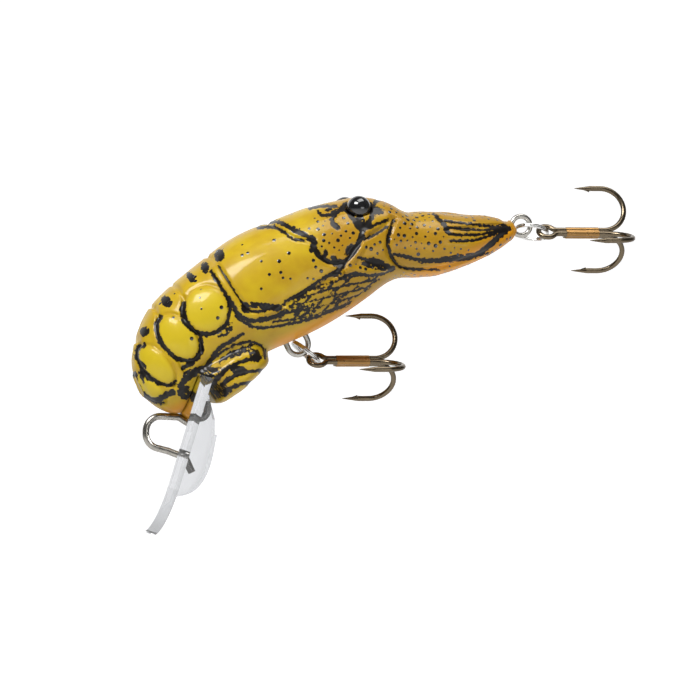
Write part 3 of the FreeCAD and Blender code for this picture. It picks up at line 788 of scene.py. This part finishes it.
def painted_skin():
    mat, tree, shader = finish_material(
        "painted_skin", Roughness=0.45, Coat_Weight=0.35, Coat_Roughness=0.1,
        Specular_IOR_Level=0.18)
    cloud = spread_range(tree, noise(tree, 260), 0.35, 0.7, 0.0, 0.6)
    tone = blend_colour(tree, cloud, OLIVE, BACK_BROWN)
    # painted shade: the head and claws blended halfway toward a dark brown
    painted_shade = spread_range(tree, reading(tree, "head"), 0.0, 1.0, 0.0, 0.5)
    tone = blend_colour(tree, painted_shade, tone, HEAD_SHADE_BROWN)
    pads = blend_colour(tree, spread_range(tree, reading(tree, "pad"), 0.0, 0.5), tone, PAD_YELLOW)
    ground = blend_colour(tree, reading(tree, "belly"), pads, BELLY_ORANGE)
    grain = noise(tree, 2200, 4.0)
    ragged = spread_range(tree, grain, 0.25, 0.75, -0.17, 0.17)
    edge = sum_of(tree, reading(tree, "ink"), ragged)
    drawn = blend_colour(tree, spread_range(tree, edge, 0.05, -0.02), ground, INK)
    mottle = sum_of(tree, reading(tree, "smudge"), noise(tree, 2300, 3.0))
    colour = blend_colour(tree, spread_range(tree, mottle, 1.04, 1.08), drawn, INK)
    tree.links.new(colour, shader.inputs["Base Color"])
    return mat


def metal(name, colour, dull, grain):
    mat, tree, shader = finish_material(name, Metallic=1.0)
    shade = tuple(0.72 * c for c in colour)
    cloud = noise(tree, grain)
    tree.links.new(blend_colour(tree, cloud, colour, shade), shader.inputs["Base Color"])
    tree.links.new(spread_range(tree, cloud, 0.3, 0.7, dull, dull + 0.12), shader.inputs["Roughness"])
    return mat


def gloss(name, colour, dull=0.08, grain=900):
    mat, tree, shader = finish_material(name, Coat_Weight=1.0, Coat_Roughness=0.03)
    shade = tuple(0.8 * c for c in colour)
    cloud = noise(tree, grain)
    tree.links.new(blend_colour(tree, cloud, colour, shade), shader.inputs["Base Color"])
    tree.links.new(spread_range(tree, cloud, 0.3, 0.7, dull, dull + 0.05), shader.inputs["Roughness"])
    return mat


def clear_plastic():
    mat, tree, shader = finish_material("clear_plastic", Transmission_Weight=1.0, IOR=1.49)
    cloud = noise(tree, 500)
    tree.links.new(spread_range(tree, cloud, 0.3, 0.7, 0.01, 0.04), shader.inputs["Roughness"])
    tint = blend_colour(tree, cloud, (0.64, 0.645, 0.66), (0.56, 0.57, 0.59))
    tree.links.new(tint, shader.inputs["Base Color"])
    return mat


def dress(nodes, mat):
    for node in nodes:
        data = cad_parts[node].data
        data.materials.clear()
        data.materials.append(mat)


def dress_hardware():
    dress(["diving_lip"], clear_plastic())
    dress(["line_tie_wire"], metal("tie_steel", (0.42, 0.4, 0.36), 0.2, 700))
    dress(["belly_hanger_wire", "tail_hanger_wire"], metal("hanger_steel", (0.5, 0.48, 0.44), 0.2, 700))
    dress(["belly_split_ring", "tail_split_ring"], metal("ring_nickel", (0.78, 0.77, 0.75), 0.12, 700))
    hooks = ["belly_double_hook", "belly_third_hook", "tail_double_hook", "tail_third_hook"]
    dress(hooks, metal("hook_bronze", (0.19, 0.15, 0.1), 0.18, 900))
    dress(["belly_hook_braze", "tail_hook_braze"], metal("braze_copper", (0.36, 0.2, 0.07), 0.25, 900))
    dress(["left_eye", "right_eye"], gloss("eye_black", (0.006, 0.006, 0.007)))
    dress(["ballast_weight"], metal("ballast_lead", (0.3, 0.31, 0.33), 0.45, 500))
    balls = ["rattle_ball_front", "rattle_ball_middle", "rattle_ball_rear"]
    dress(balls, metal("ball_steel", (0.6, 0.6, 0.6), 0.15, 500))


# ---------------------------------------------------------------- stage, light, camera
def stage():
    ground = cad_box[0].z - FLOOR_DROP * MM
    bpy.ops.mesh.primitive_plane_add(size=6.0, location=(0, 0, ground))
    floor = bpy.context.object
    floor.name = "pale_floor"
    bpy.ops.mesh.primitive_plane_add(size=6.0, location=(0, 2.0, 0), rotation=(math.pi / 2, 0, 0))
    wall = bpy.context.object
    wall.name = "pale_wall"
    board, _, _ = finish_material("pale_board", Base_Color=(0.93, 0.93, 0.93, 1), Roughness=0.9)
    panel, _, _ = finish_material(
        "light_panel", Base_Color=(0.93, 0.93, 0.93, 1), Roughness=0.9,
        Emission_Color=(1, 1, 1, 1), Emission_Strength=0.62)
    floor.data.materials.append(board)
    wall.data.materials.append(panel)


def softbox(name, place, size, power, aim):
    data = bpy.data.lights.new(name, "AREA")
    data.shape = "RECTANGLE"
    data.size = size[0]
    data.size_y = size[1]
    data.energy = power
    lamp = bpy.data.objects.new(name, data)
    bpy.context.scene.collection.objects.link(lamp)
    lamp.location = place
    lamp.rotation_euler = (Vector(aim) - Vector(place)).to_track_quat("-Z", "Y").to_euler()


def lights(aim):
    world = bpy.data.worlds.new("studio")
    bpy.context.scene.world = world
    world.use_nodes = True
    sky = world.node_tree.nodes["Background"]
    sky.inputs["Color"].default_value = (1, 1, 1, 1)
    sky.inputs["Strength"].default_value = 0.12
    softbox("key_softbox", (aim.x - 0.3, -0.3, 0.42), (0.3, 0.2), 3.4, aim)
    softbox("top_softbox", (aim.x + 0.1, -0.15, 0.6), (0.5, 0.3), 2.2, aim)
    softbox("front_softbox", (aim.x + 0.35, -0.8, -0.1), (0.5, 0.4), 1.3, aim)
    softbox("wall_wash", (0.0, 0.9, 0.9), (1.5, 0.8), 4.0, (0.0, 2.0, 0.0))
    bpy.context.scene.view_settings.view_transform = "Standard"


def camera(aim):
    data = bpy.data.cameras.new("side_camera")
    data.sensor_width = 36.0
    data.lens = LENS
    cam = bpy.data.objects.new("side_camera", data)
    bpy.context.scene.collection.objects.link(cam)
    way = Vector((math.sin(VIEW_TURN), math.cos(VIEW_TURN), 0))
    cam.location = aim - way
    cam.rotation_euler = way.to_track_quat("-Z", "Y").to_euler()
    bpy.context.scene.camera = cam


# ---------------------------------------------------------------- the lure
def build():
    left, right = body_skins()
    paint = painted_skin()
    ink = gloss("speckle_ink", INK, 0.2, 1500)
    tree = speckle_tree()
    for skin, side in ((left, "left"), (right, "right")):
        skin.data.materials.append(paint)
        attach(skin, "lure_body")
        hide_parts("body_" + side + "_shell")
        dots = speckles(skin, side + "_speckles", tree, ink)
        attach(dots, "lure_body")
    dress_hardware()
    aim = Vector(AIM) * MM
    stage()
    lights(aim)
    camera(aim)


build()
